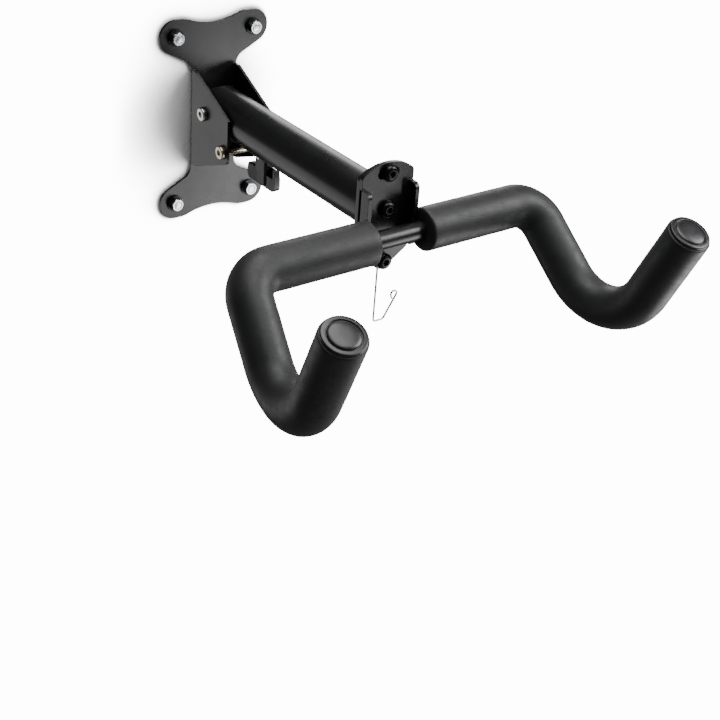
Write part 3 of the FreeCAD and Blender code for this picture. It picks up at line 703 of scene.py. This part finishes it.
for node, (name, body, width) in softEdges.items():
    piece = softened(node, name, width)
    kind = "black_plastic" if node == "wing_knob" else "black_paint"
    finishPiece(piece, body, kind, finishes[kind], node)
print("edges rounded")


armWeld = {"radius": 21.9, "bead": 2.1, "ripples": 46, "height": 0.30}
rodWeld = {"radius": 8.9, "bead": 1.25, "ripples": 22, "height": 0.20}


def makeWeld(name, values, centre, direction):
    nothingSelected()
    bpy.ops.mesh.primitive_torus_add(major_radius=values["radius"] * mm, minor_radius=values["bead"] * mm,
                                     major_segments=values["ripples"] * 8, minor_segments=14)
    piece = namePiece(name)
    for vertex in piece.data.vertices:
        angle = math.atan2(vertex.co.y, vertex.co.x)
        ring = Vector((math.cos(angle), math.sin(angle), 0)) * values["radius"] * mm
        out = (vertex.co - ring).normalized()
        wander = noise.noise(ring * 160) * 0.5
        phase = (angle / math.tau * values["ripples"] + wander + out.z * 0.25) % 1
        vertex.co += out * (values["height"] * (phase * phase - 0.5) + 0.25 * wander) * mm
    aim(piece, centre, direction)
    return piece


low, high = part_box("arm_weld")
weld = makeWeld("armWeldBead", armWeld, Vector((0, low.y + 0.9 * mm, (low.z + high.z) / 2)), (0, 1, 0))
applyAll(weld, 50)
finishPiece(weld, "arm", "black_paint", finishes["black_paint"], "arm_weld")
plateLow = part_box("tilt_plate")[0]
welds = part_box("rod_welds")
crossY = foamSleeve["elbow"][1] * mm
for side in (1, -1):
    x = side * (welds[1].x - 0.7 * mm)
    weld = makeWeld("rodWeldBead", rodWeld, Vector((x, crossY, foamSleeve["elbow"][2] * mm)), (1, 0, 0))
    editAll(weld)
    bpy.ops.mesh.bisect(plane_co=(0, plateLow.y - 0.2 * mm, 0), plane_no=(0, -1, 0), clear_outer=True,
                        use_fill=True)
    bpy.ops.object.mode_set(mode="OBJECT")
    weld.name = weld.data.name = "rodWeldBeadRight" if side > 0 else "rodWeldBeadLeft"
    applyAll(weld, 50)
    finishPiece(weld, "head", "black_paint", finishes["black_paint"], "rod_welds")
print("weld beads made")


studio = {"wall": 3.0, "wallGap": 0.0002, "floorDrop": 2.2, "floorGap": 0.3, "pale": (0.80, 0.80, 0.80),
          "glow": 13.0, "skyForLight": 0.11, "skyLift": 1.4, "shadeReach": 0.085,
          "shadeLean": (0.40, -0.88, -0.24), "shadePower": 9.0}


def makePale(name, glow, hideBack):
    material, tree, shader, place = newMaterial(name, studio["pale"], 0.9)
    shader.inputs["Specular IOR Level"].default_value = 0.1
    output = tree.nodes["Material Output"]
    path = tree.nodes.new("ShaderNodeLightPath")
    shine = tree.nodes.new("ShaderNodeEmission")
    strength = tree.nodes.new("ShaderNodeMath")
    strength.operation = "MULTIPLY"
    strength.inputs[1].default_value = glow
    near = tree.nodes.new("ShaderNodeAmbientOcclusion")
    near.samples = 24
    near.inputs["Distance"].default_value = studio["shadeReach"]
    if hideBack:
        # the contact shade leans to the upper left
        lean = tree.nodes.new("ShaderNodeCombineXYZ")
        for i in range(3):
            lean.inputs[i].default_value = studio["shadeLean"][i]
        tree.links.new(lean.outputs["Vector"], near.inputs["Normal"])
    steep = tree.nodes.new("ShaderNodeMath")
    steep.operation = "POWER"
    steep.inputs[1].default_value = studio["shadePower"]
    tree.links.new(rangeNode(tree, near.outputs["AO"], 0.0, 0.96, 0.0, 1.0), steep.inputs[0])
    shade = steep.outputs["Value"]
    seen = tree.nodes.new("ShaderNodeMath")
    seen.operation = "MULTIPLY"
    tree.links.new(path.outputs["Is Camera Ray"], seen.inputs[0])
    tree.links.new(shade, seen.inputs[1])
    tree.links.new(seen.outputs["Value"], strength.inputs[0])
    tree.links.new(strength.outputs["Value"], shine.inputs["Strength"])
    both = tree.nodes.new("ShaderNodeAddShader")
    tree.links.new(shader.outputs["BSDF"], both.inputs[0])
    tree.links.new(shine.outputs["Emission"], both.inputs[1])
    result = both.outputs["Shader"]
    if hideBack:
        clear = tree.nodes.new("ShaderNodeBsdfTransparent")
        geometry = tree.nodes.new("ShaderNodeNewGeometry")
        choose = tree.nodes.new("ShaderNodeMixShader")
        tree.links.new(geometry.outputs["Backfacing"], choose.inputs["Fac"])
        tree.links.new(result, choose.inputs[1])
        tree.links.new(clear.outputs["BSDF"], choose.inputs[2])
        result = choose.outputs["Shader"]
    tree.links.new(result, output.inputs["Surface"])
    return material


def makeStage(values):
    nothingSelected()
    size = values["wall"]
    floorZ = cadBounds[0][2] - values["floorDrop"]
    bpy.ops.mesh.primitive_plane_add(size=size * 2, location=(0, values["wallGap"], floorZ + size),
                                     rotation=(math.radians(90), 0, 0))
    wall = namePiece("paleWall")
    bpy.ops.object.transform_apply(location=True, rotation=True)
    wall.data.materials.append(makePale("paleWall", values["glow"], True))
    wall.visible_glossy = False
    wall.visible_shadow = False
    wall.visible_diffuse = False
    nothingSelected()
    bpy.ops.mesh.primitive_plane_add(size=size * 4, location=(0, -size * 2 - values["floorGap"], floorZ))
    floor = namePiece("paleFloor")
    bpy.ops.object.transform_apply(location=True)
    floor.data.materials.append(makePale("paleFloor", values["glow"], False))


# place, target, size and power in watts
softBoxes = {"keyRight": ((1.30, -1.10, 0.85), (0, -0.25, 0), (1.0, 1.0), 38),
             "topBox": ((0.10, -0.30, 1.30), (0, -0.30, 0), (1.6, 0.9), 26),
             "backRight": ((0.80, 0.80, 0.34), (0, -0.15, 0), (0.6, 0.6), 3.6),
             "backLeft": ((-0.62, 0.80, -0.50), (0, -0.05, 0), (0.8, 0.8), 2.2),
             "frontLow": ((0.53, -0.60, -0.40), (0, 0, 0.02), (0.45, 0.45), 3.4)}


def softBox(name, place, target, size, power):
    nothingSelected()
    bpy.ops.object.light_add(type="AREA", location=place)
    light = bpy.context.object
    light.name = name
    light.data.shape = "RECTANGLE"
    light.data.size = size[0]
    light.data.size_y = size[1]
    light.data.energy = power
    towards = Vector(target) - Vector(place)
    light.rotation_euler = towards.to_track_quat("-Z", "Y").to_euler()
    return light


def makeSky(values):
    world = bpy.data.worlds.new("studioSky")
    bpy.context.scene.world = world
    world.use_nodes = True
    tree = world.node_tree
    background = tree.nodes["Background"]
    background.inputs["Color"].default_value = (1, 1, 1, 1)
    path = tree.nodes.new("ShaderNodeLightPath")
    strength = tree.nodes.new("ShaderNodeMapRange")
    strength.inputs["To Min"].default_value = values["skyForLight"]
    strength.inputs["To Max"].default_value = values["glow"] + values["skyLift"]
    tree.links.new(path.outputs["Is Camera Ray"], strength.inputs["Value"])
    tree.links.new(strength.outputs["Result"], background.inputs["Strength"])


makeStage(studio)
makeSky(studio)
for name, (place, target, size, power) in softBoxes.items():
    softBox(name, place, target, size, power)
print("stage and light set")
